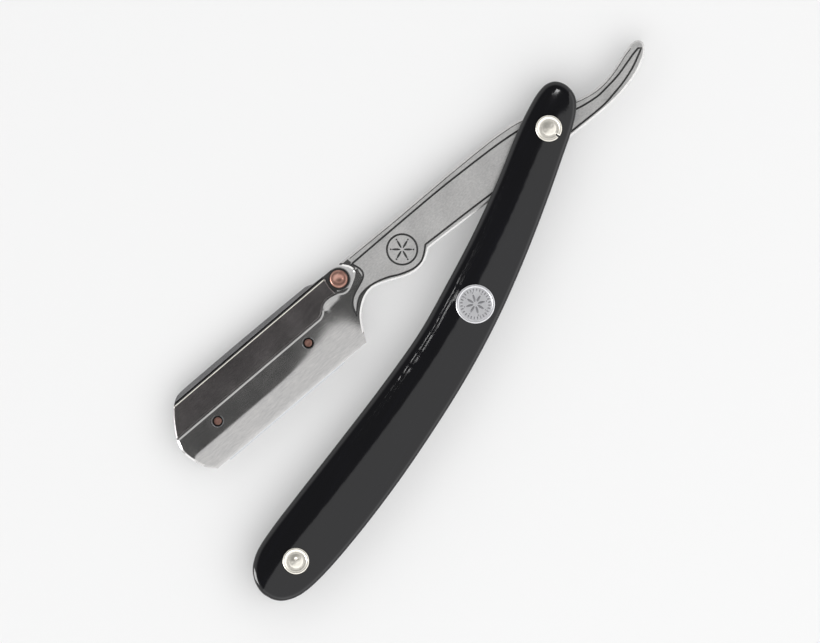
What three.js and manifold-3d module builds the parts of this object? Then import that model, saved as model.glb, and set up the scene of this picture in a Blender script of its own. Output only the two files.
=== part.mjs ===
// Barber's straight razor with a blade holder that swings open for half of a double-edge blade.
// Millimetres. The origin is on the pivot pin's axis, in the plane of the flat rear pin heads.
// X runs to the end pin, Y to the convex side of the scales and Z to the front face.
// The arm has its own frame on the pivot axis: X runs along it to the toe, Y to the cutting edge.
import * as THREE from 'three';
import { mergeVertices } from 'three/addons/utils/BufferGeometryUtils.js';
import Module from 'manifold-3d';

const wasm = await Module();
wasm.setup();

// Driving dimensions
const pinSpacing = 125.1;
const foldAngle = 19.335;
const headHeight = 0.5;
const scaleThickness = 2.2;
const slotWidth = 3.6;
const armThickness = 3;
const planeGap = 0.05;
const fitGap = 0.3;

// Levels along Z, from the rear pin heads to the front ones
const rearScaleBack = headHeight;
const rearScaleFace = rearScaleBack + scaleThickness;
const frontScaleFace = rearScaleFace + slotWidth;
const frontScaleBack = frontScaleFace + scaleThickness;
const armLow = rearScaleFace + (slotWidth - armThickness) / 2;
const armHigh = armLow + armThickness;
const armMiddle = (armLow + armHigh) / 2;

// Scales, pins, collars and badge
const crownReach = 2.4;
const crownDrop = 1.4;
const scaleSteps = 130;
const pinRadius = 1;
const pinHeadRadius = 1.9;
const collarRadius = 3.3;
const washerRadius = 3;
const badge = { x: 47.1, y: 6.3, radius: 4.9, sunk: 0.65, proud: 0.3, field: 0.12 };

// Blade holder on the arm
const leafThickness = 1.35;
const plateThickness = 1.35;
const leafUnderside = armHigh - leafThickness;
const plateTop = armLow + plateThickness;
const edgeLine = 11.2;
const heelEnd = 69.3;
const toeEnd = 118;
const beyondToe = 140;
const leafTopLine = -0.8;
const bevelStart = 5.8;
const bevelLip = 0.3;
const pocketStart = 60;
const rivet = { x: 64.33, y: -5.33, shaft: 1.1, head: 2.3, tongue: 2.8, lap: 3 };
const lapTop = armLow + 1;
const tongueLow = armLow + 1.1;
const ledgeFace = armLow + 2;
const stripFace = armHigh - 0.3;
const stripTopLine = -7.7;
const heelPost = { x: 80.48, y: 1.91, hole: 1.55 };
const toePost = { x: 110.38, y: 2.15, hole: 1.55 };
const postRadius = 1;
const blade = { length: 43, edge: 37.5, back: 0.75, tab: 7.2, exposure: 0.45, thickness: 0.1, slot: 0.8 };

const finishes = {
  resin: { color: 0x17161a, roughness: 0.12, metalness: 0 },
  satinSteel: { color: 0x9a9a9c, roughness: 0.35, metalness: 1 },
  brightSteel: { color: 0xcfccca, roughness: 0.2, metalness: 1 },
  copper: { color: 0xb9846c, roughness: 0.3, metalness: 1 },
  brass: { color: 0xb89b5a, roughness: 0.35, metalness: 1 },
  bladeSteel: { color: 0xb4b8bd, roughness: 0.2, metalness: 1 },
};

// A closed geometry becomes a solid for cutting and joining
function solidOf(geometry) {
  const bare = geometry.clone();
  bare.deleteAttribute('normal');
  bare.deleteAttribute('uv');
  const merged = mergeVertices(bare, 1e-5);
  const corners = merged.index.array;
  const kept = [];
  for (let i = 0; i < corners.length; i += 3) {
    const [a, b, c] = corners.slice(i, i + 3);
    if (a !== b && b !== c && c !== a) kept.push(a, b, c);
  }
  const mesh = new wasm.Mesh({
    numProp: 3,
    vertProperties: new Float32Array(merged.attributes.position.array),
    triVerts: new Uint32Array(kept),
  });
  return new wasm.Manifold(mesh);
}

function geometryOf(solid) {
  const mesh = solid.getMesh();
  const geometry = new THREE.BufferGeometry();
  geometry.setAttribute('position', new THREE.BufferAttribute(mesh.vertProperties, 3));
  geometry.setIndex(new THREE.BufferAttribute(mesh.triVerts, 1));
  geometry.computeVertexNormals();
  return geometry;
}

function piece(name, solid, finish) {
  const material = new THREE.MeshStandardMaterial(finishes[finish]);
  const mesh = new THREE.Mesh(geometryOf(solid), material);
  mesh.name = name;
  return mesh;
}

// Evenly spaced points of a smooth curve through a few points
function smooth(points, steps, closed = false) {
  const places = points.map(([x, y]) => new THREE.Vector3(x, y, 0));
  const path = new THREE.CatmullRomCurve3(places, closed, 'centripetal');
  const spaced = path.getSpacedPoints(steps).map((place) => [place.x, place.y]);
  if (closed) spaced.pop();
  return spaced;
}

function outline(...stretches) {
  const corners = stretches.flat().map(([x, y]) => new THREE.Vector2(x, y));
  const apart = corners.filter((corner, i) => corner.distanceTo(corners.at(i - 1)) > 0.01);
  return new THREE.Shape(apart);
}

function prism(shape, low, high) {
  const geometry = new THREE.ExtrudeGeometry(shape, { depth: high - low, bevelEnabled: false });
  return solidOf(geometry.translate(0, 0, low));
}

function box(x0, x1, y0, y1, low, high) {
  return prism(outline([[x0, y0], [x1, y0], [x1, y1], [x0, y1]]), low, high);
}

// A prism along the arm whose section is given across it, as places of [y, z]
function barAlong(section, x0, x1) {
  const geometry = new THREE.ExtrudeGeometry(outline(section), { depth: x1 - x0, bevelEnabled: false });
  const axes = new THREE.Matrix4().makeBasis(
    new THREE.Vector3(0, 1, 0),
    new THREE.Vector3(0, 0, 1),
    new THREE.Vector3(1, 0, 0),
  );
  return solidOf(geometry.applyMatrix4(axes).translate(x0, 0, 0));
}

// A turned solid on a Z axis; the profile is [radius, height], from the axis or round a ring
function turned(profile, x, y, sides = 24) {
  const geometry = new THREE.LatheGeometry(profile.map(([r, z]) => new THREE.Vector2(r, z)), sides);
  return solidOf(geometry.rotateX(Math.PI / 2).translate(x, y, 0));
}

function disc(x, y, radius, low, high, sides = 24) {
  return turned([[0, low], [radius, low], [radius, high], [0, high]], x, y, sides);
}

function joined(solids) {
  return solids.reduce((whole, solid) => whole.add(solid));
}

function cut(solid, tools) {
  return tools.reduce((left, tool) => left.subtract(tool), solid);
}

// Scales: two crowned halves of one outline, flat where they face the arm
function scaleOutline() {
  const convexEdge = [[130.1, 6.05], [124, 7.85], [112, 10.05], [96, 12.05], [80, 13.2], [64, 13.68],
    [48, 13.1], [32, 11.35], [16, 8.8], [4, 6.5], [-2, 5.3]];
  const pivotEnd = [[-6.7, 3.9], [-10.1, 1.8], [-11.6, -1.8], [-10.4, -5.4], [-7, -6.75]];
  const concaveEdge = [[-1, -6.85], [6, -6.2], [18, -4.45], [32, -3.1], [46, -2.45], [60, -2.2],
    [76, -3.55], [96, -6.05], [112, -8.2], [122, -9.4]];
  const farEnd = [[128, -9.6], [132.4, -8.3], [135.3, -5.5], [136.5, -2], [135.6, 1.85], [133, 4.5]];
  return outline(smooth([...convexEdge, ...pivotEnd, ...concaveEdge, ...farEnd], scaleSteps, true));
}

function scaleSolid(slabLow, low) {
  const slab = new THREE.ExtrudeGeometry(scaleOutline(), {
    depth: 2 * (scaleThickness - crownDrop),
    bevelThickness: crownDrop,
    bevelSize: crownReach,
    bevelOffset: -crownReach,
    bevelSegments: 3,
  });
  const whole = solidOf(slab.translate(0, 0, slabLow + crownDrop));
  const half = whole.intersect(box(-50, 200, -50, 50, low, low + scaleThickness));
  const holes = [0, pinSpacing].map((x) => disc(x, 0, pinRadius + fitGap, low - 1, low + scaleThickness + 1));
  return cut(half, holes);
}

function frontScale() {
  const seatFloor = frontScaleBack - badge.sunk - planeGap;
  const seat = disc(badge.x, badge.y, badge.radius + fitGap, seatFloor, frontScaleBack + 1);
  const solid = scaleSolid(frontScaleBack - 2 * scaleThickness, frontScaleFace);
  return piece('front_scale', cut(solid, [seat]), 'resin');
}

function rearScale() {
  return piece('rear_scale', scaleSolid(rearScaleBack, rearScaleBack), 'resin');
}

// The wedge fills the far end of the slot, and its lip is where the closed arm's toe stops
function endWedge() {
  const toeRoom = smooth([[118.9, 7.3], [120.75, 5.05], [121.85, 2.2], [122.5, -0.7], [122.6, -3.5],
    [122.1, -11]], 12);
  const region = outline([[116.8, 12], [117.5, 7.7]], toeRoom, [[beyondToe, -11], [beyondToe, 12]]);
  const low = rearScaleFace + planeGap;
  const high = frontScaleFace - planeGap;
  const filled = prism(scaleOutline(), low, high).intersect(prism(region, low - 1, high + 1));
  const pinHole = disc(pinSpacing, 0, pinRadius + fitGap, low - 1, high + 1);
  return piece('end_wedge', cut(filled, [pinHole]), 'resin');
}

// Pins: a peened dome on the front, a flat head on the rear
function pin(name, x) {
  const top = frontScaleBack + headHeight;
  const headDepth = 0.2;
  const profile = [[0, 0], [pinHeadRadius, 0], [pinHeadRadius, headDepth], [pinRadius, headDepth],
    [pinRadius, top - headDepth], [pinHeadRadius, top - headDepth], [1.6, top - 0.08], [0.9, top], [0, top]];
  return piece(name, turned(profile, x, 0), 'brightSteel');
}

function collar(name, x, seat, side) {
  const hole = pinRadius + fitGap;
  const section = [[hole, planeGap], [collarRadius, planeGap], [collarRadius, 0.3], [3.1, 0.45], [2.75, 0.45],
    [2.45, 0.25], [hole, 0.25], [hole, planeGap]];
  const profile = section.map(([r, h]) => [r, seat + side * h]);
  if (side < 0) profile.reverse();
  return piece(name, turned(profile, x, 0), 'brightSteel');
}

function washer(name, low) {
  const hole = pinRadius + fitGap;
  const high = low + 0.2;
  const profile = [[hole, low], [washerRadius, low], [washerRadius, high], [hole, high], [hole, low]];
  return piece(name, turned(profile, 0, 0), 'brass');
}

function scaleBadge() {
  const face = frontScaleBack;
  const profile = [[0, face - badge.sunk], [badge.radius, face - badge.sunk], [badge.radius, face + 0.2],
    [badge.radius - 0.2, face + badge.proud], [badge.radius - 0.6, face + badge.proud],
    [badge.radius - 0.75, face + badge.field], [0, face + badge.field]];
  return piece('scale_badge', turned(profile, badge.x, badge.y, 36), 'brightSteel');
}

// Outline of the toe end, shared by the front leaf and the carrier, from the spine to the edge
const toeCurve = [[112.4, -9.45], [114.2, -9.2], [116, -8.05], [118, -5.85], [120, -2.9], [121.2, leafTopLine],
  [121.9, 1.5], [121.95, 3.5], [121.2, 6.3], [120, 9], [toeEnd, edgeLine]];
const heelCurve = [[heelEnd, edgeLine], [68, 8.6], [66, 5.35], [64, 3.5]];

function tangOutline() {
  const notch = smooth([...heelCurve, [62, 2.3], [60, 1.82], [58, 2.1], [55, 3.25], [52, 4.64], [50, 5.34],
    [48, 5.62], [46, 5.4], [44, 4.6], [42.2, 3.35]], 48);
  const underside = smooth([[42.2, 3.35], [38, 3.5], [32, 3.85], [22, 4.3], [8, 4.75], [-4, 5.1], [-14, 5.32],
    [-20, 4.9], [-26, 3.5], [-30, 1.55]], 40);
  const tailTip = smooth([[-30, 1.55], [-31.5, 0], [-31.9, -1.5], [-31, -2.6], [-29.4, -2.85]], 10);
  const top = smooth([[-29.4, -2.85], [-26, -2.06], [-22, -0.82], [-18, -0.05], [-14, -0.1], [-8, -1.7],
    [-2, -4.3], [4, -6.4], [10, -7.3], [18, -7.68], [26, -7.82]], 40);
  const recess = smooth([[61.9, -8.13], [61.4, -7.1], [60.5, -5.9], [60.2, -4.6], [60.8, -3.8], [61.9, -3.05],
    [63.4, -2.25], [64.6, -1.85], [65.6, -1.95], [66.6, -2.5], [68, -2.9], [69.5, -3.15], [70.9, -3],
    [72.3, -2.2], [73.2, -1.3], [74.4, leafTopLine]], 40);
  const toe = smooth(toeCurve.slice(5), 16);
  return outline(notch, underside, tailTip, top, [[46, -7.86], [60, -8.14]], recess, toe);
}

// What is ground away so that a face slopes from the crease to a thin lip at the cutting edge
function edgeSlope(face, lip, outward) {
  const beyond = edgeLine + 1;
  const clear = face + outward;
  const section = [[bevelStart, face], [edgeLine, lip], [beyond, lip], [beyond, clear], [bevelStart, clear]];
  return barAlong(section, pocketStart - 10, beyondToe);
}

function tangBody() {
  const full = prism(tangOutline(), armLow, armHigh);
  const pocket = box(pocketStart, beyondToe, -20, 20, armLow - 1, leafUnderside);
  const slope = edgeSlope(armHigh, leafUnderside + bevelLip, 1);
  const holes = [
    disc(0, 0, pinRadius + fitGap, armLow - 1, armHigh + 1),
    ...[heelPost, toePost].map((post) => disc(post.x, post.y, post.hole, armLow, armHigh + 1)),
  ];
  const lap = joined([
    disc(rivet.x, rivet.y, rivet.lap, armLow, lapTop, 36),
    box(pocketStart - 2, rivet.x, rivet.y - rivet.lap + 0.1, rivet.y + rivet.tongue, armLow, lapTop),
  ]);
  const whole = cut(full, [pocket, slope, ...holes]).add(lap);
  const rivetHole = disc(rivet.x, rivet.y, rivet.shaft + fitGap, armLow - 1, tongueLow);
  return piece('tang_body', cut(whole, [rivetHole]), 'satinSteel');
}

// Carrier: a strip above a spine ledge, a rear plate under the leaf and a tongue on the rivet
function spineStretch() {
  const step = smooth([[70.1, -8.55], [70.9, -8.9], [71.9, -9.26]], 6);
  return [[66.9, -8.4], ...step, [80, -9.4], [94, -9.52], [110, -9.52]];
}

function stripOutline() {
  const edgeGap = leafTopLine - fitGap;
  const toe = smooth(toeCurve.slice(0, 6), 16).filter(([, y]) => y < edgeGap);
  const recessSide = smooth([[74.6, edgeGap], [73.1, -1.75], [72.1, -2.65], [70.9, -3.35], [69.5, -3.5],
    [68, -3.25], [67.3, -3.1]], 12);
  return outline(spineStretch(), toe, [[121, edgeGap]], recessSide, [[67.45, -5.4]]);
}

function carrierStrip() {
  const shape = stripOutline();
  const upper = prism(shape, armLow, stripFace);
  const strip = upper.intersect(box(pocketStart, beyondToe, stripTopLine, 20, armLow, armHigh));
  return strip.add(prism(shape, armLow, ledgeFace));
}

function carrierPlate() {
  const heel = smooth(heelCurve, 10);
  const rootSide = [[62.9, 0.4], [62.4, -1.6], [66.5, -3.1], [67.45, -5.4]];
  const shape = outline(spineStretch(), smooth(toeCurve, 30), heel, rootSide);
  return cut(prism(shape, armLow, plateTop), [edgeSlope(armLow, plateTop - bevelLip, -1)]);
}

function bladeCarrier() {
  const lapRoom = disc(rivet.x, rivet.y, rivet.lap + fitGap, armLow - 1, tongueLow, 36);
  const tongue = joined([
    disc(rivet.x, rivet.y, rivet.tongue, tongueLow, ledgeFace, 36),
    box(rivet.x, 67.6, rivet.y - rivet.lap, rivet.y + 1.9, tongueLow, ledgeFace),
  ]);
  const body = cut(carrierStrip().add(carrierPlate()), [lapRoom]).add(tongue);
  const holes = [disc(rivet.x, rivet.y, rivet.shaft + fitGap, armLow, armHigh)];
  for (const post of [heelPost, toePost]) {
    holes.push(disc(post.x, post.y, postRadius + fitGap, armLow - 1, armMiddle + 1));
    holes.push(disc(post.x, post.y, postRadius + 1, armLow - 1, armLow + 0.65));
  }
  return piece('blade_carrier', cut(body, holes), 'satinSteel');
}

function carrierRivet() {
  const underHead = ledgeFace + planeGap;
  const rearHead = armLow - planeGap;
  const profile = [[0, armLow - 0.3], [1.3, armLow - 0.3], [1.9, rearHead], [rivet.shaft, rearHead],
    [rivet.shaft, underHead], [rivet.head, underHead], [rivet.head, underHead + 0.35], [1.7, underHead + 0.7],
    [0.9, underHead + 0.7], [0.5, underHead + 0.4], [0, underHead + 0.3]];
  return piece('carrier_rivet', turned(profile, rivet.x, rivet.y), 'copper');
}

function bladePost(name, post) {
  const tip = leafUnderside - planeGap;
  const foot = postRadius + 0.7;
  const profile = [[0, armLow], [foot, armLow], [foot, armLow + 0.6], [postRadius, armLow + 0.6],
    [postRadius, tip - 0.1], [postRadius - 0.2, tip], [0, tip]];
  return piece(name, turned(profile, post.x, post.y), 'copper');
}

// Half of a double-edge blade: the snapped side is notched for the posts, the other side is sharp
function halfBlade() {
  const middle = (heelPost.x + toePost.x) / 2;
  const postLine = (heelPost.y + toePost.y) / 2;
  const back = blade.back;
  const sharp = edgeLine + blade.exposure;
  const long = blade.length / 2;
  const short = blade.edge / 2;
  const notch = postRadius + fitGap;
  const shoulder = blade.tab + 1;
  const body = outline([[middle - long, back], [middle + long, back], [middle + long, blade.tab],
    [middle + short, shoulder], [middle + short, sharp], [middle - short, sharp], [middle - short, shoulder],
    [middle - long, blade.tab]]);
  const low = armMiddle - blade.thickness / 2;
  const high = armMiddle + blade.thickness / 2;
  const tools = [box(middle - 11, middle + 11, back - 1, back + blade.slot, low - 1, high + 1)];
  for (const post of [heelPost, toePost]) {
    tools.push(disc(post.x, postLine, notch + 0.15, low - 1, high + 1));
    tools.push(box(post.x - notch, post.x + notch, back - 1, postLine, low - 1, high + 1));
  }
  return piece('half_blade', cut(prism(body, low, high), tools), 'bladeSteel');
}

const handle = new THREE.Group();
handle.add(
  frontScale(),
  rearScale(),
  endWedge(),
  scaleBadge(),
  pin('pivot_pin', 0),
  collar('pivot_front_collar', 0, frontScaleBack, 1),
  collar('pivot_rear_collar', 0, rearScaleBack, -1),
  washer('pivot_front_washer', armHigh + planeGap),
  washer('pivot_rear_washer', rearScaleFace + planeGap),
  pin('end_pin', pinSpacing),
  collar('end_front_collar', pinSpacing, frontScaleBack, 1),
  collar('end_rear_collar', pinSpacing, rearScaleBack, -1),
);

const arm = new THREE.Group();
arm.rotation.z = THREE.MathUtils.degToRad(-foldAngle);
arm.add(
  tangBody(),
  carrierRivet(),
  bladeCarrier(),
  bladePost('blade_post_heel', heelPost),
  bladePost('blade_post_toe', toePost),
  halfBlade(),
);

const group = new THREE.Group();
group.add(handle, arm);
export default group;
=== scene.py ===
import math

import bmesh
import bpy
import numpy as np
from mathutils import Matrix, Vector
from mathutils.geometry import delaunay_2d_cdt


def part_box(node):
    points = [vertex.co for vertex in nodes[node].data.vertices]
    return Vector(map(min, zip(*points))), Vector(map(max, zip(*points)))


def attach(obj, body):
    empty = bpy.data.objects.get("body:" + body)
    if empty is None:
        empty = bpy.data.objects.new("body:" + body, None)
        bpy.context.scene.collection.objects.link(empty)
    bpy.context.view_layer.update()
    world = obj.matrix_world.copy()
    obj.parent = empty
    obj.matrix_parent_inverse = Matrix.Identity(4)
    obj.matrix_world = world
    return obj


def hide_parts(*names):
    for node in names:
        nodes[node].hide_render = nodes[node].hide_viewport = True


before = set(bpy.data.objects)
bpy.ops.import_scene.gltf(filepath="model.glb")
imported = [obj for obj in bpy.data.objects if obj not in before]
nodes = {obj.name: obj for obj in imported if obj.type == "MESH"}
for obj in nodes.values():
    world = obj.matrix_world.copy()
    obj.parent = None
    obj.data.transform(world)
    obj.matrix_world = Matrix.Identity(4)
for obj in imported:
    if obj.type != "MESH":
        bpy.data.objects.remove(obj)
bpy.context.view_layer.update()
foldAngle = math.radians(-19.335)  # the arm's own length axis, seen in the row frame
armTurn = Matrix.Rotation(foldAngle, 4, "Z")
collection = bpy.context.scene.collection


# Node groups shared by the finishes

def groupOf(name, numbers, results):
    group = bpy.data.node_groups.new(name, "ShaderNodeTree")
    group.interface.new_socket("Place", in_out="INPUT", socket_type="NodeSocketVector")
    for label, value in numbers.items():
        socket = group.interface.new_socket(label, in_out="INPUT", socket_type="NodeSocketFloat")
        socket.default_value = value
    for label in results:
        group.interface.new_socket(label, in_out="OUTPUT", socket_type="NodeSocketFloat")
    entry = group.nodes.new("NodeGroupInput")
    leave = group.nodes.new("NodeGroupOutput")
    return group, entry, leave


def mathNode(tree, kind, first, second):
    node = tree.nodes.new("ShaderNodeMath")
    node.operation = kind
    for place, value in enumerate((first, second)):
        if isinstance(value, (int, float)):
            node.inputs[place].default_value = value
        else:
            tree.links.new(value, node.inputs[place])
    return node.outputs[0]


def noiseNode(tree, place, scale, detail=3.0):
    node = tree.nodes.new("ShaderNodeTexNoise")
    node.inputs["Detail"].default_value = detail
    tree.links.new(place, node.inputs["Vector"])
    if isinstance(scale, (int, float)):
        node.inputs["Scale"].default_value = scale
    else:
        tree.links.new(scale, node.inputs["Scale"])
    return node.outputs["Fac"]


# fine lines along the arm, as a belt leaves them
def makeBrushedGrain():
    group, entry, leave = groupOf("brushedGrain", {"Scale": 900.0, "Stretch": 0.06}, ("Grain", "Mottle"))
    turn = group.nodes.new("ShaderNodeMapping")
    turn.inputs["Rotation"].default_value = (0, 0, -foldAngle)
    group.links.new(entry.outputs["Place"], turn.inputs["Vector"])
    squeeze = group.nodes.new("ShaderNodeMapping")
    stretch = group.nodes.new("ShaderNodeCombineXYZ")
    group.links.new(entry.outputs["Stretch"], stretch.inputs["X"])
    stretch.inputs["Y"].default_value = 1
    stretch.inputs["Z"].default_value = 1
    group.links.new(turn.outputs["Vector"], squeeze.inputs["Vector"])
    group.links.new(stretch.outputs["Vector"], squeeze.inputs["Scale"])
    grain = noiseNode(group, squeeze.outputs["Vector"], entry.outputs["Scale"])
    mottle = noiseNode(group, entry.outputs["Place"], 140.0, 5.0)
    group.links.new(grain, leave.inputs["Grain"])
    group.links.new(mottle, leave.inputs["Mottle"])
    return group


# the faint film and hairlines that handling leaves on a polished face
def makeHandMarks():
    group, entry, leave = groupOf("handMarks", {"Smudge": 60.0, "Hairline": 1600.0}, ("Film", "Hairlines"))
    film = noiseNode(group, entry.outputs["Place"], entry.outputs["Smudge"], 4.0)
    spread = group.nodes.new("ShaderNodeMapping")
    spread.inputs["Rotation"].default_value = (0, 0, 0.7)
    spread.inputs["Scale"].default_value = (0.03, 1, 1)
    group.links.new(entry.outputs["Place"], spread.inputs["Vector"])
    lines = noiseNode(group, spread.outputs["Vector"], entry.outputs["Hairline"], 2.0)
    sharper = mathNode(group, "POWER", lines, 4.0)
    group.links.new(film, leave.inputs["Film"])
    group.links.new(sharper, leave.inputs["Hairlines"])
    return group


brushedGrain = makeBrushedGrain()
handMarks = makeHandMarks()


def finishOf(name, look):
    material = bpy.data.materials.new(name)
    material.use_nodes = True
    tree = material.node_tree
    shader = tree.nodes["Principled BSDF"]
    shader.inputs["Metallic"].default_value = look["metal"]
    shader.inputs["IOR"].default_value = look.get("ior", 1.5)
    place = tree.nodes.new("ShaderNodeTexCoord").outputs["Object"]
    effect = tree.nodes.new("ShaderNodeGroup")
    effect.node_tree = brushedGrain if look["grain"] else handMarks
    if "stretch" in look:
        effect.inputs["Stretch"].default_value = look["stretch"]
    tree.links.new(place, effect.inputs["Place"])
    if look["grain"]:
        effect.inputs["Scale"].default_value = look["grain"]
        fine, broad = effect.outputs["Grain"], effect.outputs["Mottle"]
    else:
        fine, broad = effect.outputs["Hairlines"], effect.outputs["Film"]
    tint = tree.nodes.new("ShaderNodeMix")
    tint.data_type = "RGBA"
    tint.inputs["A"].default_value = (*look["dark"], 1)
    tint.inputs["B"].default_value = (*look["light"], 1)
    blend = mathNode(tree, "MULTIPLY_ADD", broad, 0.5)
    tree.links.new(fine, blend.node.inputs[2])
    blend = mathNode(tree, "SUBTRACT", blend, 0.25)
    tree.links.new(blend, tint.inputs["Factor"])
    tree.links.new(tint.outputs["Result"], shader.inputs["Base Color"])
    spread = mathNode(tree, "MULTIPLY_ADD", broad, look["unevenness"])
    spread.node.inputs[2].default_value = look["roughness"]
    tree.links.new(spread, shader.inputs["Roughness"])
    bump = tree.nodes.new("ShaderNodeBump")
    bump.inputs["Strength"].default_value = look["bump"]
    bump.inputs["Distance"].default_value = 0.00002
    tree.links.new(fine, bump.inputs["Height"])
    tree.links.new(bump.outputs["Normal"], shader.inputs["Normal"])
    return material


finishLooks = {
    "glossResin": dict(metal=0, ior=1.45, dark=(0.005, 0.005, 0.006), light=(0.008, 0.008, 0.012),
                       grain=0, roughness=0.035, unevenness=0.02, bump=0.03),
    "satinShank": dict(metal=1, dark=(0.38, 0.38, 0.38), light=(0.68, 0.67, 0.66),
                       grain=3200, stretch=0.5, roughness=0.36, unevenness=0.12, bump=0.5),
    "leafSteel": dict(metal=1, dark=(0.36, 0.36, 0.36), light=(0.5, 0.49, 0.48),
                      grain=2600, stretch=0.2, roughness=0.08, unevenness=0.08, bump=0.05),
    # carrier strip steel, tinted darker than the leaf steel as painted shade for the dark that the flat strip
    # mirrors
    "paintedShadeStripSteel": dict(metal=1, dark=(0.13, 0.125, 0.125), light=(0.27, 0.25, 0.25),
                      grain=2400, stretch=0.3, roughness=0.13, unevenness=0.12, bump=0.2),
    "ledgeSteel": dict(metal=1, dark=(0.32, 0.32, 0.33), light=(0.42, 0.42, 0.43),
                       grain=3000, stretch=0.5, roughness=0.2, unevenness=0.08, bump=0.1),
    # black for engraved lines and the collar's nick, also used as painted shade on the tang's spine line, the
    # carrier ledge's groove and recess, and the posts' feet and stems
    "engravedBlackAndPaintedShade": dict(metal=0, dark=(0.006, 0.006, 0.006), light=(0.02, 0.02, 0.02),
                          grain=4000, roughness=0.5, unevenness=0.2, bump=0.3),
    # the fittings' polished steel, also laid on the carrier strip's spine-side rim as a painted highlight
    "polishedSteel": dict(metal=1, dark=(0.78, 0.75, 0.68), light=(0.98, 0.94, 0.86),
                          grain=0, roughness=0.28, unevenness=0.15, bump=0.2),
    "badgeField": dict(metal=1, dark=(0.62, 0.62, 0.64), light=(0.8, 0.8, 0.82),
                       grain=0, roughness=0.3, unevenness=0.15, bump=0.3),
    "badgeMarks": dict(metal=1, dark=(0.22, 0.22, 0.23), light=(0.34, 0.34, 0.35),
                       grain=0, roughness=0.4, unevenness=0.2, bump=0.3),
    "wornCopper": dict(metal=1, dark=(0.28, 0.15, 0.12), light=(0.72, 0.5, 0.43),
                       grain=0, roughness=0.25, unevenness=0.25, bump=0.4),
    "washerBrass": dict(metal=1, dark=(0.45, 0.33, 0.12), light=(0.68, 0.53, 0.25),
                        grain=0, roughness=0.3, unevenness=0.2, bump=0.3),
    "bladeSteel": dict(metal=1, dark=(0.55, 0.57, 0.6), light=(0.78, 0.8, 0.82),
                       grain=3000, roughness=0.15, unevenness=0.1, bump=0.2),
}
finishes = {name: finishOf(name, look) for name, look in finishLooks.items()}
print("finishes made")


# Shapes

def evenPoints(points, spacing, closed=False):
    count = len(points)
    spots = [Vector(p).to_2d() for p in points]
    out = []
    for i in range(count if closed else count - 1):
        before = spots[i - 1] if closed or i else spots[0]
        start, end = spots[i], spots[(i + 1) % count]
        after = spots[(i + 2) % count] if closed else spots[min(i + 2, count - 1)]
        steps = max(1, round((end - start).length / spacing))
        for step in range(steps):
            t = step / steps
            spot = (2 * start + (end - before) * t + (2 * before - 5 * start + 4 * end - after) * t ** 2
                    + (3 * start - before - 3 * end + after) * t ** 3) / 2
            out.append(spot)
    if not closed:
        out.append(spots[-1])
    return out


def circlePoints(centre, radius, count=64):
    return [Vector((centre[0] + radius * math.cos(a), centre[1] + radius * math.sin(a)))
            for a in np.linspace(0, 2 * math.pi, count, endpoint=False)]


# a smooth circle in place of a hole's faceted loop
def roundHole(ring, count):
    radius = max((p - ring[0]).length for p in ring) / 2
    return circlePoints(sum(ring, Vector((0, 0))) / len(ring), radius, count)


# loops round the faces of a CAD node that look up or down Z, in millimetres of the arm's or the row's frame
def faceLoops(node, up, lowest, highest, turned):
    form = bmesh.new()
    form.from_mesh(nodes[node].data)
    bmesh.ops.remove_doubles(form, verts=form.verts, dist=1e-6)
    if turned:
        form.transform(armTurn.inverted())
    form.normal_update()
    kept = set(f for f in form.faces
               if f.normal.z * up > 0.3 and lowest < f.calc_center_median().z * 1000 < highest)
    follow = {}
    for face in kept:
        for loop in face.loops:
            if not any(other in kept for other in loop.edge.link_faces if other != face):
                follow.setdefault(loop.vert.index, []).append(loop.link_loop_next.vert.index)
    places = {v.index: Vector((v.co.x * 1000, v.co.y * 1000)) for v in form.verts}
    form.free()
    loops = []
    while follow:
        start = at = next(iter(follow))
        ring = []
        while at in follow:
            ring.append(places[at])
            nextAt = follow[at].pop()
            if not follow[at]:
                del follow[at]
            at = nextAt
            if at == start:
                break
        if len(ring) > 2:
            loops.append(ring)
    return sorted(loops, key=lambda ring: -abs(areaOf(ring)))


def areaOf(ring):
    return sum(a.x * b.y - b.x * a.y for a, b in zip(ring, ring[1:] + ring[:1])) / 2


def insideMask(spots, ring):
    x, y = np.array(spots, float)[:, 0], np.array(spots, float)[:, 1]
    corners = np.array([tuple(p) for p in ring])
    inside = np.zeros(len(x), bool)
    for (x0, y0), (x1, y1) in zip(corners, np.roll(corners, -1, axis=0)):
        if y0 != y1:
            crosses = (y0 > y) != (y1 > y)
            inside ^= crosses & (x < (x1 - x0) * (y - y0) / (y1 - y0) + x0)
    return inside


def distanceTo(spots, ring, closed=True):
    at = np.array(spots, float)[:, None, :]
    start = np.array([tuple(p) for p in ring])
    end = np.roll(start, -1, axis=0)
    if not closed:
        start, end = start[:-1], end[:-1]
    along = end - start
    share = ((at - start) * along).sum(2) / np.maximum((along ** 2).sum(1), 1e-12)
    nearest = start + np.clip(share, 0, 1)[..., None] * along
    return np.sqrt(((at - nearest) ** 2).sum(2)).min(1)


def meshPiece(name, corners, faces, finish, turned=False, sharp=35):
    mesh = bpy.data.meshes.new(name)
    mesh.from_pydata([tuple(c) for c in corners], [], faces)
    if turned:
        mesh.transform(armTurn)
    form = bmesh.new()
    form.from_mesh(mesh)
    bmesh.ops.recalc_face_normals(form, faces=form.faces)
    form.to_mesh(mesh)
    form.free()
    for each in finish if isinstance(finish, (list, tuple)) else [finish]:
        mesh.materials.append(finishes[each])
    mesh.shade_smooth()
    mesh.set_sharp_from_angle(angle=math.radians(sharp))
    piece = bpy.data.objects.new(name, mesh)
    collection.objects.link(piece)
    return piece


# long straight stretches get points along them, so that no sliver crosses a face
def splitLong(ring, spacing):
    out = []
    for i, at in enumerate(ring):
        ahead = ring[(i + 1) % len(ring)]
        steps = max(1, math.ceil((ahead - at).length / spacing))
        out += [at.lerp(ahead, step / steps) for step in range(steps)]
    return out


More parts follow.
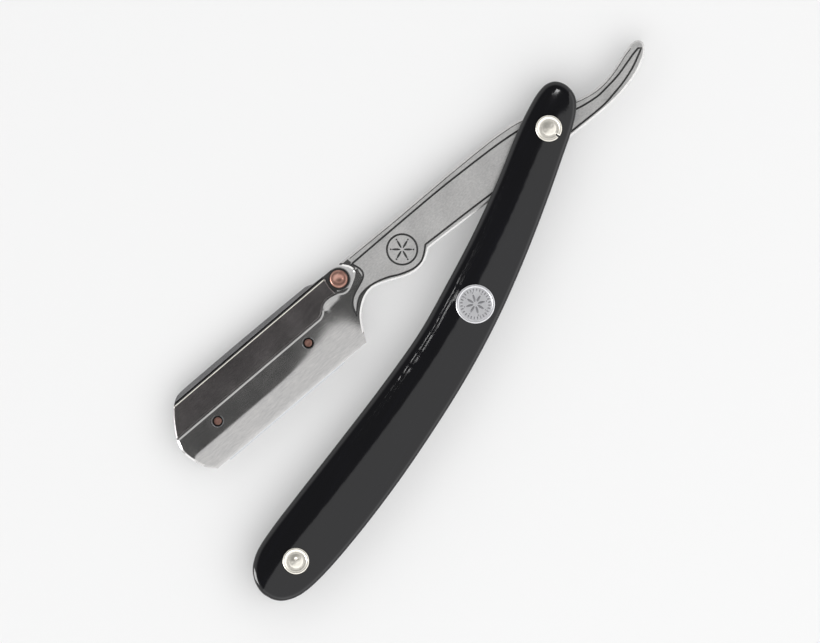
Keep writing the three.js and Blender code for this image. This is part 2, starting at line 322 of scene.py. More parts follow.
# a closed plate: one triangulated outline, with a height for each point above and below
def plateOf(name, loops, lines, spots, top, bottom, finish, turned, zones=None, sharp=35):
    loops = [splitLong(ring, 0.6) for ring in loops]
    points, edges = [], []
    for ring, closed in [(r, True) for r in loops] + lines:
        first = len(points)
        points += [Vector(p) for p in ring]
        edges += [(first + i, first + i + 1) for i in range(len(ring) - 1)]
        if closed:
            edges.append((len(points) - 1, first))
    points += [Vector(p) for p in spots]
    places, _, faces, _, _, _ = delaunay_2d_cdt(points, edges, [], 0, 1e-5)
    flat = np.array([tuple(p) for p in places])
    triangles = np.array([f for f in faces if len(f) == 3])
    centres = flat[triangles].mean(1)
    kept = insideMask(centres, loops[0])
    for hole in loops[1:]:
        kept &= ~insideMask(centres, hole)
    triangles, centres = triangles[kept], centres[kept]
    used = np.unique(triangles)
    renumber = -np.ones(len(flat), int)
    renumber[used] = np.arange(len(used))
    flat, triangles = flat[used], renumber[triangles]
    count = len(flat)
    high, low = top(flat), bottom(flat)
    corners = [(x / 1000, y / 1000, z / 1000) for (x, y), z in zip(flat, high)]
    corners += [(x / 1000, y / 1000, z / 1000) for (x, y), z in zip(flat, low)]
    allFaces = [tuple(map(int, t)) for t in triangles]
    allFaces += [tuple(int(i) + count for i in reversed(t)) for t in triangles]
    sides = {}
    for a, b, c in triangles:
        for edge in ((a, b), (b, c), (c, a)):
            sides[edge] = 1
    for a, b in sides:
        if (b, a) not in sides:
            allFaces.append((int(b), int(a), int(a) + count, int(b) + count))
    piece = meshPiece(name, corners, allFaces, finish, turned, sharp)
    if zones is not None:
        for polygon, zone in zip(piece.data.polygons, zones(centres)):
            polygon.material_index = int(zone)
    return piece


# a height function for a flat face
def level(height):
    return lambda flat: np.full(len(flat), height)


def gridSpots(ring, spacing, clear):
    corners = np.array([tuple(p) for p in ring])
    low, high = corners.min(0), corners.max(0)
    spots = np.array([(x, y) for x in np.arange(low[0], high[0], spacing)
                      for y in np.arange(low[1], high[1], spacing)])
    spots = spots[insideMask(spots, ring)]
    return spots[distanceTo(spots, ring) > clear]


def insetRing(ring, depth):
    turn = 1 if areaOf(ring) > 0 else -1
    moved = []
    for i, at in enumerate(ring):
        along = (ring[(i + 1) % len(ring)] - ring[i - 1]).normalized()
        moved.append(at + Vector((-along.y, along.x)) * depth * turn)
    clear = distanceTo([tuple(p) for p in moved], ring) > depth * 0.9
    inside = insideMask([tuple(p) for p in moved], ring)
    return [p for p, a, b in zip(moved, clear, inside) if a and b]


def turnedPiece(name, profile, centre, finish, sides=96, shaped=None):
    corners, faces = [], []
    steps = len(profile)
    for side in range(sides):
        angle = 2 * math.pi * side / sides
        for r, z in profile:
            spot = [r * math.cos(angle), r * math.sin(angle), z]
            if shaped:
                spot[2] += shaped(spot[0], spot[1], r, z)
            corners.append(((centre[0] + spot[0]) / 1000, (centre[1] + spot[1]) / 1000, spot[2] / 1000))
    for side in range(sides):
        a, b = side * steps, (side + 1) % sides * steps
        faces += [(a + i, b + i, b + (i + 1) % steps, a + (i + 1) % steps) for i in range(steps)]
    mesh = bpy.data.meshes.new("draft")
    mesh.from_pydata(corners, [], faces)
    form = bmesh.new()
    form.from_mesh(mesh)
    bmesh.ops.remove_doubles(form, verts=form.verts, dist=1e-7)
    bmesh.ops.dissolve_degenerate(form, edges=form.edges, dist=1e-7)
    clean = [tuple(v.co) for v in form.verts]
    form.verts.index_update()
    cleanFaces = [tuple(v.index for v in f.verts) for f in form.faces]
    form.free()
    bpy.data.meshes.remove(mesh)
    return meshPiece(name, clean, cleanFaces, finish, sharp=50)


def middleOf(node):
    low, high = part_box(node)
    return (low + high) * 500


def levelsOf(node):
    low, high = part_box(node)
    return low.z * 1000, high.z * 1000


def radiusOf(node):
    low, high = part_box(node)
    return (high.x - low.x) * 500


def settle(piece, body, slot, *replaced):
    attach(piece, body)
    if replaced:
        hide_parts(*replaced)
    return piece


# Scales: a round shoulder along the edge and a gentle crown across

scaleShape = {"outlineStep": 0.5, "shoulder": 1.5, "wall": 0.75, "crown": 0.5, "crownPower": 0.8,
              "ringDepths": (0.08, 0.2, 0.4, 0.65, 0.95, 1.3, 1.8, 2.6), "grid": 1.1, "gridClear": 3.2,
              "crownCell": 0.3, "crownRounds": 2200, "crownLean": -1.0, "seatGap": 0.06, "seatWall": 0.03,
              "seatDrop": 0.05, "holeClear": 2}


# a membrane held at the outline gives a crown with no ridge along its middle
def crownField(ring, cell):
    corners = np.array([tuple(p) for p in ring])
    low, high = corners.min(0) - 2 * cell, corners.max(0) + 2 * cell
    xs, ys = np.arange(low[0], high[0], cell), np.arange(low[1], high[1], cell)
    spots = np.stack(np.meshgrid(xs, ys, indexing="ij"), -1).reshape(-1, 2)
    mask = insideMask(spots, ring).reshape(len(xs), len(ys))
    lift = np.zeros(mask.shape)
    for _ in range(scaleShape["crownRounds"]):
        around = (np.roll(lift, 1, 0) + np.roll(lift, -1, 0) + np.roll(lift, 1, 1) + np.roll(lift, -1, 1)) / 4
        lift = np.where(mask, around + cell * cell / 4, 0)
    wide = np.maximum(mask.sum(1), 1)
    middle = (mask * ys).sum(1) / wide
    across = (ys[None, :] - middle[:, None]) / (wide[:, None] * cell / 2)
    lift *= 1 + scaleShape["crownLean"] * np.clip(across, -1, 1)
    lift /= lift.max()

    def crownAt(flat):
        fx, fy = (flat[:, 0] - xs[0]) / cell, (flat[:, 1] - ys[0]) / cell
        ix, iy = np.clip(fx.astype(int), 0, len(xs) - 2), np.clip(fy.astype(int), 0, len(ys) - 2)
        tx, ty = fx - ix, fy - iy
        return (lift[ix, iy] * (1 - tx) * (1 - ty) + lift[ix + 1, iy] * tx * (1 - ty)
                + lift[ix, iy + 1] * (1 - tx) * ty + lift[ix + 1, iy + 1] * tx * ty)
    return crownAt


def scalePiece(node, outward):
    low, high = levelsOf(node)
    rings = faceLoops(node, -outward, low - 0.1, high + 0.1, False)
    lowCorner, highCorner = (corner * 1000 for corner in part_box(node))
    outer = [Vector((min(max(p.x, lowCorner.x), highCorner.x), min(max(p.y, lowCorner.y), highCorner.y)))
             for p in evenPoints(rings[0], scaleShape["outlineStep"], closed=True)]
    holes = [roundHole(hole, 48) for hole in rings[1:3]]
    crownAt = crownField(outer, scaleShape["crownCell"])
    inner, outerFace = (low, high) if outward > 0 else (high, low)
    depth = abs(outerFace - inner)
    rise = depth - scaleShape["wall"] - scaleShape["crown"]
    lines = [(insetRing(outer, d), True) for d in scaleShape["ringDepths"]]
    badge = middleOf("scale_badge")
    seat = radiusOf("scale_badge") + scaleShape["seatGap"]
    spots = gridSpots(outer, scaleShape["grid"], scaleShape["gridClear"])
    if outward > 0:
        spots = spots[np.abs(np.hypot(spots[:, 0] - badge.x, spots[:, 1] - badge.y) - seat) > 0.5]
        lines += [(circlePoints(badge, seat + extra, 96), True) for extra in (0, scaleShape["seatWall"])]
        seatFloor = levelsOf("scale_badge")[0] - scaleShape["seatDrop"]
    for hole in holes:
        centre = sum(hole, Vector((0, 0))) / len(hole)
        spots = spots[np.hypot(spots[:, 0] - centre.x, spots[:, 1] - centre.y) > scaleShape["holeClear"]]

    def outerHeight(flat):
        share = 1 - np.clip(distanceTo(flat, outer) / scaleShape["shoulder"], 0, 1)
        rounded = np.sqrt(np.clip(1 - share ** 2, 0, 1))
        crown = scaleShape["crown"] * crownAt(flat) ** scaleShape["crownPower"]
        away = scaleShape["wall"] + rise * rounded + crown
        height = inner + outward * np.minimum(away, depth)
        if outward > 0:
            sunk = np.hypot(flat[:, 0] - badge.x, flat[:, 1] - badge.y) < seat + 0.01
            height = np.where(sunk, seatFloor, height)
        return height

    heights = (outerHeight, level(inner)) if outward > 0 else (level(inner), outerHeight)
    return plateOf(node + "_shell", [outer, *holes], lines, spots, *heights, "glossResin", False)


frontShell = scalePiece("front_scale", 1)
rearShell = scalePiece("rear_scale", -1)
settle(frontShell, "handle", "black_resin", "front_scale")
settle(rearShell, "handle", "black_resin", "rear_scale")
print("scales made")


# Tang: shank with engraved border lines, medallion ring, and the front leaf with its ground bevel

tangShape = {"rim": 0.45, "rimDrop": 0.22, "edgeRimShare": 0.4, "edgeRimStart": 9, "groove": 0.5,
             "grooveDepth": 0.17, "bevelStart": 5.8, "edge": 11.2, "lip": 4.95, "leafStart": 66,
             "leafRamp": 8, "crease": 0.1, "heelCrease": 6.5, "creaseEnd": 98, "creaseRamp": 30,
             "spineLine": 0.66, "spineWidth": 0.16, "leafUnderside": 4.65, "pocketStart": 60.0,
             "pocketWall": 0.02, "leafFinish": 59.4, "medallion": (47.45, -0.72), "ring": 3.8, "grid": 0.8}
upperBorder = [(-30, -0.88), (-28, -0.5), (-26, 0), (-22, 1.0), (-18, 1.5), (-14, 1.68), (-8, 0.6),
               (-2, -1.9), (4, -4.1), (10, -5.05), (16, -5.5), (24, -5.88), (32, -6.12), (46, -6.16),
               (59.4, -6.1)]
holderBorder = [(59.4, -6.1), (58.6, -3.8), (58.85, -2.3), (60.0, -1.4), (61.8, -0.7), (63.8, 0.1),
                (65.2, 1.1), (66.2, 2.6), (66.8, 4.6)]
notchBorder = [(66.8, 4.6), (65.6, 3.3), (64.4, 2.2), (62.9, 1.3), (61.2, 1.0), (59.6, 1.0), (57.3, 1.4),
               (54.6, 2.3), (52.0, 3.6), (49.1, 4.6), (47.3, 4.8), (45.7, 4.6), (44.1, 3.7), (42.2, 2.1)]
lowerBorder = [(42.2, 2.1), (36, 2.38), (28, 2.75), (16, 3.4), (4, 3.9), (-8, 4.3), (-14, 4.38), (-18, 3.88),
               (-22, 3.12), (-26, 1.88), (-30, 0.0), (-30.9, -0.5)]


def borderLine():
    stretches = [evenPoints(part, 0.6)[:-1] for part in (upperBorder, holderBorder, notchBorder, lowerBorder)]
    return sum(stretches, [])


def sideLines(line, width):
    ahead = []
    for i, at in enumerate(line):
        along = (line[(i + 1) % len(line)] - line[i - 1]).normalized()
        ahead.append((at, Vector((-along.y, along.x)) * width / 2))
    return [[at + side for at, side in ahead], [at - side for at, side in ahead]]


def tangPiece():
    low, high = levelsOf("tang_body")
    rings = faceLoops("tang_body", 1, tangShape["leafUnderside"], high + 0.1, True)
    outer = splitLong(rings[0], 0.6)
    holes = [roundHole(hole, 48) for hole in rings[1:4]]
    border = borderLine()
    medallion = circlePoints(tangShape["medallion"], tangShape["ring"], 96)
    half = tangShape["groove"] / 2
    lines = [(border, True), (medallion, True)]
    lines += [(side, True) for side in sideLines(border, tangShape["groove"])]
    lines += [(circlePoints(tangShape["medallion"], tangShape["ring"] + step, 96), True)
              for step in (-half, half)]
    lines.append((insetRing(outer, tangShape["rim"]), True))
    start = tangShape["pocketStart"]
    lines += [([Vector((start + step, y)) for y in np.arange(-20, 20, 0.5)], False)
              for step in (0, tangShape["pocketWall"])]
    upperU, upperV = zip(*upperBorder)
    # a fine sunk line along the spine edge, painted black as shade: it stands in for the dark that the
    # rounded edge mirrors
    spine = [p for p in insetRing(outer, tangShape["spineLine"])
             if -29 < p.x < 59 and p.y < np.interp(p.x, upperU, upperV) - 0.4]
    spine = sorted(spine, key=lambda p: p.x)
    fine = tangShape["spineWidth"] / 2
    lines += [([p + Vector((0, step)) for p in spine], False) for step in (-fine, 0, fine)]
    spots = gridSpots(outer, tangShape["grid"], tangShape["rim"] + 0.6)
    apart = (distanceTo(spots, border) > 0.4) & (distanceTo(spots, medallion) > 0.4)
    spots = spots[apart]

    def grooves(flat):
        return np.minimum(distanceTo(flat, border), distanceTo(flat, medallion))

    def top(flat):
        u, v = flat[:, 0], flat[:, 1]
        leaf = np.clip((u - tangShape["leafStart"]) / tangShape["leafRamp"], 0, 1)
        towardHeel = np.clip((tangShape["creaseEnd"] - u) / tangShape["creaseRamp"], 0, 1)
        softness = tangShape["crease"] + tangShape["heelCrease"] * towardHeel ** 2
        past = v - tangShape["bevelStart"]
        grade = (high - tangShape["lip"]) / (tangShape["edge"] - tangShape["bevelStart"])
        slope = grade * (past + np.sqrt(past ** 2 + softness ** 2)) / 2
        height = high - np.where(v > -2, slope, 0) * leaf
        edge = distanceTo(flat, outer)
        rimShare = np.where(v > tangShape["edgeRimStart"], tangShape["edgeRimShare"], 1)
        height -= tangShape["rimDrop"] * np.clip(1 - edge / tangShape["rim"], 0, 1) * rimShare
        height -= tangShape["grooveDepth"] * np.clip(1 - grooves(flat) / half, 0, 1)
        height -= fine * np.clip(1 - distanceTo(flat, spine, closed=False) / fine, 0, 1)
        return height

    def bottom(flat):
        return np.where(flat[:, 0] > start + tangShape["pocketWall"] / 2, tangShape["leafUnderside"], low)

    # black for the engraved lines and for the painted-shade spine line, leaf finish past the holder
    def engraved(centres):
        leaf = (centres[:, 0] > tangShape["leafFinish"]) & ~insideMask(centres, border)
        black = (grooves(centres) < half * 0.98) | (distanceTo(centres, spine, closed=False) < fine * 0.98)
        return np.where(black, 1, np.where(leaf, 2, 0))

    tangFinishes = ["satinShank", "engravedBlackAndPaintedShade", "leafSteel"]
    return plateOf("tang", [outer, *holes], lines, spots, top, bottom, tangFinishes, True, engraved, sharp=20)


tang = tangPiece()
settle(tang, "blade_arm", "satin_steel", "tang_body")


# the lap under the carrier's tongue
lapShape = {"radius": 3.0, "hole": 1.4, "thickness": 1.0}


def lapPiece():
    low, _ = levelsOf("tang_body")
    rivet = armTurn.inverted() @ middleOf("carrier_rivet")
    ring = circlePoints(rivet, lapShape["radius"], 64)
    hole = circlePoints(rivet, lapShape["hole"], 32)
    return plateOf("tang_lap", [ring, hole], [], [], level(low + lapShape["thickness"]), level(low),
                   "satinShank", True)


settle(lapPiece(), "blade_arm", "satin_steel")
print("tang made")


# Wedge, which keeps its CAD shape and gains a broken edge, and the carrier

def brokenEdges(node, name, width, finish):
    mesh = nodes[node].data.copy()
    form = bmesh.new()
    form.from_mesh(mesh)
    bmesh.ops.remove_doubles(form, verts=form.verts, dist=1e-6)
    bmesh.ops.dissolve_limit(form, angle_limit=math.radians(1), verts=form.verts, edges=form.edges)
    form.to_mesh(mesh)
    form.free()
    mesh.materials.clear()
    mesh.materials.append(finishes[finish])
    piece = bpy.data.objects.new(name, mesh)
    collection.objects.link(piece)
    bevel = piece.modifiers.new("brokenEdge", "BEVEL")
    bevel.width = width / 1000
    bevel.segments = 2
    bevel.angle_limit = math.radians(40)
    mesh.shade_smooth()
    shaped = bpy.data.meshes.new_from_object(piece.evaluated_get(bpy.context.evaluated_depsgraph_get()))
    piece.modifiers.clear()
    piece.data = shaped
    shaped.set_sharp_from_angle(angle=math.radians(35))
    return piece


carrierShape = {"strip": 5.7, "ledge": 5.0, "rim": 0.22, "rimDrop": 0.2, "groovePlace": -8.1, "groove": 0.5,
                "grooveDepth": 0.2, "grooveReach": (66.5, 119), "grooveStart": 67, "recessShadeEnd": 67.4,
                "sunk": 0.15, "paintedHighlightSide": -7.3}


# the carrier's CAD shape, held below the ledge and strip that are laid on it
def carrierBase():
    mesh = nodes["blade_carrier"].data.copy()
    form = bmesh.new()
    form.from_mesh(mesh)
    bmesh.ops.remove_doubles(form, verts=form.verts, dist=1e-6)
    ceiling = (carrierShape["ledge"] - carrierShape["sunk"]) / 1000
    for corner in form.verts:
        corner.co.z = min(corner.co.z, ceiling)
    bmesh.ops.dissolve_degenerate(form, edges=form.edges, dist=1e-7)
    form.to_mesh(mesh)
    form.free()
    mesh.materials.clear()
    mesh.materials.append(finishes["leafSteel"])
    piece = bpy.data.objects.new("carrier_base", mesh)
    collection.objects.link(piece)
    return piece


# the carrier's raised strip, in painted-shade steel, with its rim on the spine side in polished steel as a
# painted highlight
def carrierStrip():
    face = carrierShape["strip"]
    ring = splitLong(faceLoops("blade_carrier", 1, face - 0.1, face + 0.1, True)[0], 0.6)
    inner = insetRing(ring, carrierShape["rim"])

    def top(flat):
        share = np.clip(1 - distanceTo(flat, ring) / carrierShape["rim"], 0, 1)
        return face - carrierShape["rimDrop"] * share

    # the spine-side rim takes the bright finish as a painted highlight along the strip's edge
    def zones(centres):
        onSpineSide = centres[:, 1] < carrierShape["paintedHighlightSide"]
        return (onSpineSide & (distanceTo(centres, ring) < carrierShape["rim"] * 0.95)).astype(int)

    low = carrierShape["ledge"] - carrierShape["sunk"]
    return plateOf("carrier_strip", [ring], [(inner, True)], gridSpots(ring, 1.2, 0.4), top, level(low),
                   ["paintedShadeStripSteel", "polishedSteel"], True, zones, sharp=20)


# the ledge along the spine, with a groove beside the strip painted black as the strip's shadow, and the
# recess floor round the rivet painted black as shade
def carrierLedge():
    face = carrierShape["ledge"]
    rings = faceLoops("blade_carrier", 1, face - 0.1, face + 0.1, True)
    half = carrierShape["groove"] / 2
    line = [Vector((u, carrierShape["groovePlace"])) for u in np.arange(*carrierShape["grooveReach"], 0.5)]
    lines = [([p + Vector((0, step)) for p in line], False) for step in (-half, 0, half)]
    holes = [roundHole(hole, 32) for hole in rings[1:] if areaOf(hole) * areaOf(rings[0]) < 0]

    def top(flat):
        off = np.abs(flat[:, 1] - carrierShape["groovePlace"])
        cut = np.where(flat[:, 0] > carrierShape["grooveStart"], np.clip(1 - off / half, 0, 1), 0)
        return face - carrierShape["grooveDepth"] * cut

    # the groove and the recess floor are painted black as shade
    def zones(centres):
        black = np.abs(centres[:, 1] - carrierShape["groovePlace"]) < half
        return (black | (centres[:, 0] < carrierShape["recessShadeEnd"])).astype(int)

    low = face - carrierShape["sunk"]
    return plateOf("carrier_ledge", [rings[0], *holes], lines, [], top, level(low),
                   ["ledgeSteel", "engravedBlackAndPaintedShade"], True, zones, sharp=20)


settle(carrierBase(), "carrier", "satin_steel", "blade_carrier")
settle(carrierStrip(), "carrier", "satin_steel")
settle(carrierLedge(), "carrier", "satin_steel")
settle(brokenEdges("end_wedge", "wedge", 0.15, "glossResin"), "handle", "black_resin", "end_wedge")
print("carrier and wedge made")


# Turned fittings

collarShape = {"nick": 0.9, "nickWidth": 0.09, "nickAngle": 1.4, "nickStart": 1.8, "bore": 1.3}


def collarPiece(node, name, outward):
    low, high = levelsOf(node)
    centre = middleOf(node)
    seat, crest = (low, high) if outward > 0 else (high, low)
    radius = radiusOf(node)
    lift = abs(crest - seat)
    bore = collarShape["bore"]
    section = [(bore, 0), (radius - 0.1, 0), (radius, 0.08), (radius, lift * 0.55),
               (radius - 0.08, lift * 0.85), (radius - 0.22, lift), (radius - 0.42, lift),
               (radius - 0.58, lift * 0.82), (radius - 0.8, lift * 0.5), (2.3, lift * 0.45),
               (1.9, lift * 0.5), (bore, lift * 0.5)]
    profile = [(r, seat + outward * h) for r, h in section]

    def nicked(x, y, r, z):
        above = abs(z - seat)
        if r <= collarShape["nickStart"] or above <= lift * 0.3:
            return 0
        off = math.atan2(y, x) - collarShape["nickAngle"]
        deep = math.exp(-(off / collarShape["nickWidth"]) ** 2)
        return -outward * collarShape["nick"] * (above - lift * 0.2) * deep

    cracked = outward > 0 and node.startswith("pivot")
    collar = turnedPiece(name, profile, centre, ["polishedSteel", "engravedBlackAndPaintedShade"], sides=180,
                         shaped=nicked if cracked else None)
    for polygon in collar.data.polygons:
        spot = polygon.center * 1000 - centre
        within = abs(math.atan2(spot.y, spot.x) - collarShape["nickAngle"]) < collarShape["nickWidth"]
        polygon.material_index = int(cracked and within and math.hypot(spot.x, spot.y) > 2.2)
    return collar


peenShape = {"head": 1.9, "shaft": 1, "domeDrop": 0.28, "depth": 0.035, "spread": 0.12,
             "blows": ((0.2, 0.9), (-0.9, 0.3), (0.9, -0.5), (-0.3, -1.0)),
             "dimplePlace": (-0.5, -0.3), "dimpleSpread": 0.07}


def pinPiece(node, name, dimple):
    low, high = levelsOf(node)
    head, shaft = peenShape["head"], peenShape["shaft"]
    dome = [(r, high - peenShape["domeDrop"] * (r / head) ** 2) for r in np.linspace(head, 0, 14)]
    profile = [(0, low), (1.7, low), (head, low + 0.1), (head, low + 0.2), (shaft, low + 0.25),
               (shaft, high - 0.4), (1.8, high - 0.4)] + dome

    # hammer marks left when the head was peened over
    def peened(x, y, r, z):
        if z < high - 0.15 or r < 0.01:
            return 0
        depth = sum(math.exp(-((x - bx) ** 2 + (y - by) ** 2) / peenShape["spread"])
                    for bx, by in peenShape["blows"])
        dx, dy = peenShape["dimplePlace"]
        mark = dimple * math.exp(-((x - dx) ** 2 + (y - dy) ** 2) / peenShape["dimpleSpread"])
        return -peenShape["depth"] * depth - mark

    return turnedPiece(name, profile, middleOf(node), "polishedSteel", shaped=peened)


for end, dimple in (("pivot", 0.02), ("end", 0.3)):
    for side, outward in (("front", 1), ("rear", -1)):
        node = end + "_" + side + "_collar"
        settle(collarPiece(node, end + "_collar_" + side, outward), "handle", "bright_steel", node)
    settle(pinPiece(end + "_pin", end + "_peened_pin", dimple), "handle", "bright_steel", end + "_pin")


# the rolled head is torn a little, higher on two sides of its ring
rivetShape = {"tear": 0.08, "turn": 0.6, "ring": 1.1, "reach": 0.5, "below": 0.5}


def rivetPiece():
    low, high = levelsOf("carrier_rivet")
    profile = [(0, low), (1.3, low), (1.9, low + 0.25), (1.1, low + 0.27), (1.1, high - 0.7),
               (2.2, high - 0.7), (2.3, high - 0.6), (2.3, high - 0.4), (2.1, high - 0.15),
               (1.8, high - 0.02), (1.5, high), (1.2, high - 0.05), (0.9, high - 0.2),
               (0.5, high - 0.38), (0, high - 0.42)]

    def torn(x, y, r, z):
        if z <= high - rivetShape["below"]:
            return 0
        wave = rivetShape["tear"] * math.sin(math.atan2(y, x) * 2 + rivetShape["turn"])
        return min(wave * math.exp(-((r - rivetShape["ring"]) / rivetShape["reach"]) ** 2), high - z)

    return turnedPiece("rivet", profile, middleOf("carrier_rivet"), "wornCopper", shaped=torn)


settle(rivetPiece(), "blade_arm", "copper", "carrier_rivet")

# only the posts' tips keep the copper finish; the foot and stem are painted black as shade deep in their
# holes
postShape = {"foot": 1.7, "stem": 1, "tipAboveShade": 0.15}

for place in ("heel", "toe"):
    node = "blade_post_" + place
    low, high = levelsOf(node)
    foot, stem = postShape["foot"], postShape["stem"]
    profile = [(0, low), (1.6, low), (foot, low + 0.08), (foot, low + 0.55), (stem, low + 0.6),
               (stem, high - 0.12), (0.92, high - 0.03), (0.8, high), (0.4, high - 0.02), (0, high - 0.06)]
    post = turnedPiece("post_" + place, profile, middleOf(node), ["wornCopper", "engravedBlackAndPaintedShade"], 64)
    for polygon in post.data.polygons:
        polygon.material_index = int(polygon.center.z * 1000 < high - postShape["tipAboveShade"])
    settle(post, "carrier", "copper", node)
print("turned fittings made")


# Badge and medallion: a plain rosette and ticks on a turned disc

def radialMarksTree():
    tree = bpy.data.node_groups.new("radialMarks", "GeometryNodeTree")
    tree.interface.new_socket("Geometry", in_out="OUTPUT", socket_type="NodeSocketGeometry")
    for label, kind in (("Count", "Int"), ("Ring", "Float"), ("Size", "Vector"), ("Place", "Vector"),
                        ("Finish", "Material")):
        tree.interface.new_socket(label, in_out="INPUT", socket_type="NodeSocket" + kind)
    entry, leave = tree.nodes.new("NodeGroupInput"), tree.nodes.new("NodeGroupOutput")
    ring = tree.nodes.new("GeometryNodeMeshCircle")
    mark = tree.nodes.new("GeometryNodeMeshUVSphere")
    mark.inputs["Segments"].default_value = 10
    mark.inputs["Rings"].default_value = 6
    mark.inputs["Radius"].default_value = 0.5
    place = tree.nodes.new("GeometryNodeInputPosition")
    align = tree.nodes.new("FunctionNodeAlignRotationToVector")
    align.axis = "X"
    put = tree.nodes.new("GeometryNodeInstanceOnPoints")
    real = tree.nodes.new("GeometryNodeRealizeInstances")
    move = tree.nodes.new("GeometryNodeTransform")
    finish = tree.nodes.new("GeometryNodeSetMaterial")
    join = tree.links.new
    join(entry.outputs["Count"], ring.inputs["Vertices"])
    join(entry.outputs["Ring"], ring.inputs["Radius"])
    join(place.outputs[0], align.inputs["Vector"])
    join(ring.outputs[0], put.inputs["Points"])
    join(mark.outputs["Mesh"], put.inputs["Instance"])
    join(align.outputs[0], put.inputs["Rotation"])
    join(entry.outputs["Size"], put.inputs["Scale"])
    join(put.outputs[0], move.inputs["Geometry"])
    join(entry.outputs["Place"], move.inputs["Translation"])
    join(move.outputs[0], real.inputs[0])
    join(real.outputs[0], finish.inputs["Geometry"])
    join(entry.outputs["Finish"], finish.inputs["Material"])
    join(finish.outputs[0], leave.inputs[0])
    return tree


marksTree = radialMarksTree()


def radialMarks(name, count, ring, size, centre, finish):
    seed = bpy.data.objects.new(name, bpy.data.meshes.new(name))
    collection.objects.link(seed)
    modifier = seed.modifiers.new("marks", "NODES")
    modifier.node_group = marksTree
    values = {"Count": count, "Ring": ring / 1000, "Size": [s / 1000 for s in size],
              "Place": [c / 1000 for c in centre], "Finish": finishes[finish]}
    for item in marksTree.interface.items_tree:
        if item.item_type == "SOCKET" and item.in_out == "INPUT":
            modifier[item.identifier] = values[item.name]
    marked = bpy.data.meshes.new_from_object(seed.evaluated_get(bpy.context.evaluated_depsgraph_get()))
    marked.shade_smooth()
    seed.modifiers.clear()
    seed.data = marked
    return seed


badgeCentre = middleOf("scale_badge")
badgeLow, badgeHigh = levelsOf("scale_badge")
badgeRadius = radiusOf("scale_badge")
badgeField = badgeHigh - 0.18
badgeProfile = [(0, badgeLow), (badgeRadius - 0.1, badgeLow), (badgeRadius, badgeLow + 0.1),
                (badgeRadius, badgeHigh - 0.2), (badgeRadius - 0.08, badgeHigh - 0.06),
                (badgeRadius - 0.2, badgeHigh), (badgeRadius - 0.5, badgeHigh),
                (badgeRadius - 0.65, badgeHigh - 0.05), (badgeRadius - 0.75, badgeField), (3, badgeField),
                (1.5, badgeField), (0, badgeField)]
badgeDisc = turnedPiece("badge_disc", badgeProfile, badgeCentre, "badgeField")
settle(badgeDisc, "handle", "bright_steel", "scale_badge")
badgeMarks = {
    "badge_ticks": (28, 3.5, (0.8, 0.34, 0.12)),
    "badge_petals": (8, 1.5, (1.9, 0.62, 0.14)),
    "badge_beads": (8, 2.85, (0.34, 0.34, 0.14)),
}
for name, (count, ring, size) in badgeMarks.items():
    at = (badgeCentre.x, badgeCentre.y, badgeField)
    settle(radialMarks(name, count, ring, size, at, "badgeMarks"), "handle", "bright_steel")

medallionAt = armTurn @ Vector((*tangShape["medallion"], 0))
medallionMarks = {
    "medallion_petals": (6, 1.5, (2.5, 0.6, 0.06)),
    "medallion_beads": (6, 2.85, (0.5, 0.5, 0.06)),
}
for name, (count, ring, size) in medallionMarks.items():
    at = (medallionAt.x, medallionAt.y, levelsOf("tang_body")[1] - 0.01)
    settle(radialMarks(name, count, ring, size, at, "engravedBlackAndPaintedShade"), "blade_arm", "satin_steel")
print("badge and medallion made")


# Half blade, ground to its edge on both faces

bladeShape = {"facetStart": 10.9, "facetReach": (60, 130), "edgeThickness": 0.006}


def bladePiece():
    low, high = levelsOf("half_blade")
    rings = faceLoops("half_blade", 1, high - 0.02, high + 0.02, True)
    edge = max(p.y for p in rings[0])
    line = [Vector((u, bladeShape["facetStart"])) for u in np.arange(*bladeShape["facetReach"], 1)]
    thin = (high - low - bladeShape["edgeThickness"]) / 2

    def ground(flat):
        start = bladeShape["facetStart"]
        return thin * np.clip((flat[:, 1] - start) / (edge - start), 0, 1)

    return plateOf("blade", [rings[0]], [(line, False)], [], lambda flat: high - ground(flat),
                   lambda flat: low + ground(flat), "bladeSteel", True, sharp=3)


settle(bladePiece(), "carrier", "blade_steel", "half_blade")
print("blade made")


# The washers keep their CAD shape

for node in ("pivot_front_washer", "pivot_rear_washer"):
    nodes[node].data.materials.clear()
    nodes[node].data.materials.append(finishes["washerBrass"])


# Floor, light and camera

studio = {"floorSize": 6.0, "floorTint": (0.62, 0.62, 0.62), "floorLift": 0.225, "cameraAway": 2.4,
          "viewWidth": 0.205, "aim": (0.0591, -0.0056, 0.005), "softHeight": 2.0, "softSize": (5.0, 6.0),
          "softEdge": 0.11, "softPower": 100.0, "horizon": 1.15, "zenith": 0.12, "rampLow": 0.62,
          "rampHigh": 0.9, "glintAway": 1.5}

floorMesh = bpy.data.meshes.new("floor")
reach = studio["floorSize"] / 2
floorMesh.from_pydata([(-reach, -reach, 0), (reach, -reach, 0), (reach, reach, 0), (-reach, reach, 0)], [],
                      [(0, 1, 2, 3)])
floor = bpy.data.objects.new("floor", floorMesh)
collection.objects.link(floor)
floorPaint = bpy.data.materials.new("floorPaper")
floorPaint.use_nodes = True
paper = floorPaint.node_tree.nodes["Principled BSDF"].inputs
paper["Base Color"].default_value = (*studio["floorTint"], 1)
paper["Roughness"].default_value = 0.9
paper["Emission Color"].default_value = (1, 1, 1, 1)
paper["Emission Strength"].default_value = studio["floorLift"]
floorMesh.materials.append(floorPaint)

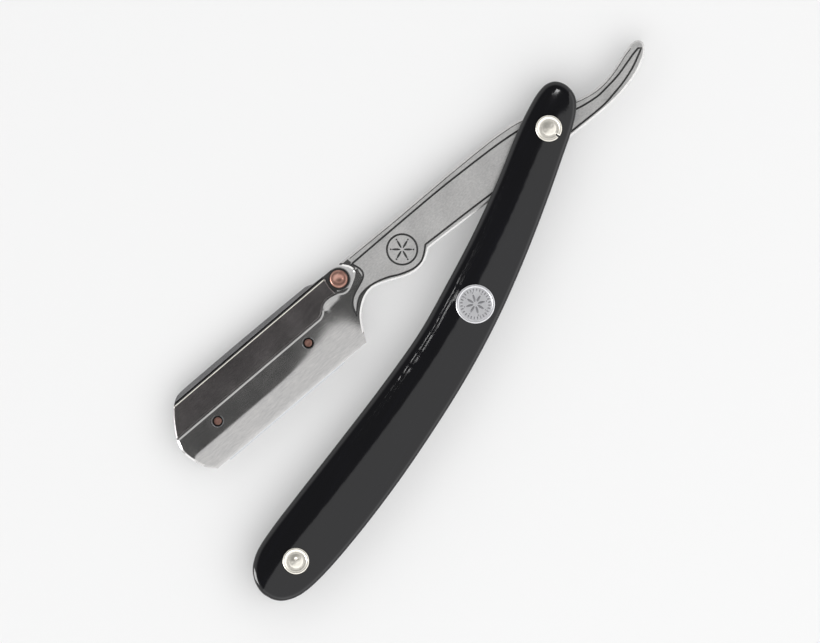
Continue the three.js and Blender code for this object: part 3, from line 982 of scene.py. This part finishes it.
right, upward = Vector((-0.5046, 0.8633, 0)), Vector((-0.8633, -0.5046, 0))
camera = bpy.data.objects.new("camera", bpy.data.cameras.new("camera"))
collection.objects.link(camera)
camera.data.sensor_width = 36
camera.data.lens = 36 * studio["cameraAway"] / studio["viewWidth"]
camera.data.clip_end = 50
turn = Matrix((right, upward, Vector((0, 0, 1)))).transposed().to_4x4()
camera.matrix_world = Matrix.Translation(Vector(studio["aim"]) + Vector((0, 0, studio["cameraAway"]))) @ turn
bpy.context.scene.camera = camera

sideways = Vector((0.33, 0.944, 0)).normalized()
light = bpy.data.lights.new("softbox", "AREA")
light.shape = "RECTANGLE"
light.size, light.size_y = studio["softSize"]
light.energy = studio["softPower"]
softbox = bpy.data.objects.new("softbox", light)
collection.objects.link(softbox)
across = Vector((sideways.y, -sideways.x, 0))
lightTurn = Matrix((sideways, across * -1, Vector((0, 0, 1)))).transposed().to_4x4()
away = studio["softSize"][0] / 2 + studio["softEdge"]
lightPlace = Vector(studio["aim"]) + sideways * away + Vector((0, 0, studio["softHeight"]))
softbox.matrix_world = Matrix.Translation(lightPlace) @ lightTurn
softbox.visible_camera = False

# lamps that the camera sees mirrored in the front scale, hidden from diffuse rays but not from any sheen
glints = {
    "streakNear": dict(at=(0.0601, 0.0003), size=(0.03, 0.005), power=0.008),
    "streakFar": dict(at=(0.0598, 0.0010), size=(0.03, 0.005), power=0.008),
    "pivotGlint": dict(at=(-0.0095, -0.0030), size=(0.05, 0.05), power=0.1),
    "endGlint": dict(at=(0.13375, -0.00695), size=(1.0, 0.55), power=22),
}
for name, glint in glints.items():
    found, spot, normal, _ = frontShell.closest_point_on_mesh(Vector((*glint["at"], 0.0085)))
    toCamera = (camera.matrix_world.translation - spot).normalized()
    mirrored = 2 * normal.dot(toCamera) * normal - toCamera
    lamp = bpy.data.lights.new(name, "AREA")
    lamp.shape = "RECTANGLE"
    lamp.size, lamp.size_y = glint["size"]
    lamp.energy = glint["power"]
    holder = bpy.data.objects.new(name, lamp)
    collection.objects.link(holder)
    along = Vector((1, -0.05, 0)).normalized()
    facing = mirrored.normalized()
    sideAxis = along.cross(facing).normalized()
    lampTurn = Matrix((sideAxis, facing.cross(sideAxis), facing)).transposed().to_4x4()
    holder.matrix_world = Matrix.Translation(spot + facing * studio["glintAway"]) @ lampTurn
    holder.visible_camera = False
    holder.visible_diffuse = False

world = bpy.data.worlds.new("studio")
world.use_nodes = True
sky = world.node_tree
bpy.context.scene.world = world
place = sky.nodes.new("ShaderNodeTexCoord")
parts = sky.nodes.new("ShaderNodeSeparateXYZ")
ramp = sky.nodes.new("ShaderNodeValToRGB")
sky.links.new(place.outputs["Generated"], parts.inputs[0])
sky.links.new(parts.outputs["Z"], ramp.inputs[0])
sky.links.new(ramp.outputs[0], sky.nodes["Background"].inputs["Color"])
ramp.color_ramp.elements[0].position = studio["rampLow"]
ramp.color_ramp.elements[0].color = (*(studio["horizon"],) * 3, 1)
ramp.color_ramp.elements[1].position = studio["rampHigh"]
ramp.color_ramp.elements[1].color = (*(studio["zenith"],) * 3, 1)
bpy.context.scene.view_settings.view_transform = "Standard"
print("studio made")
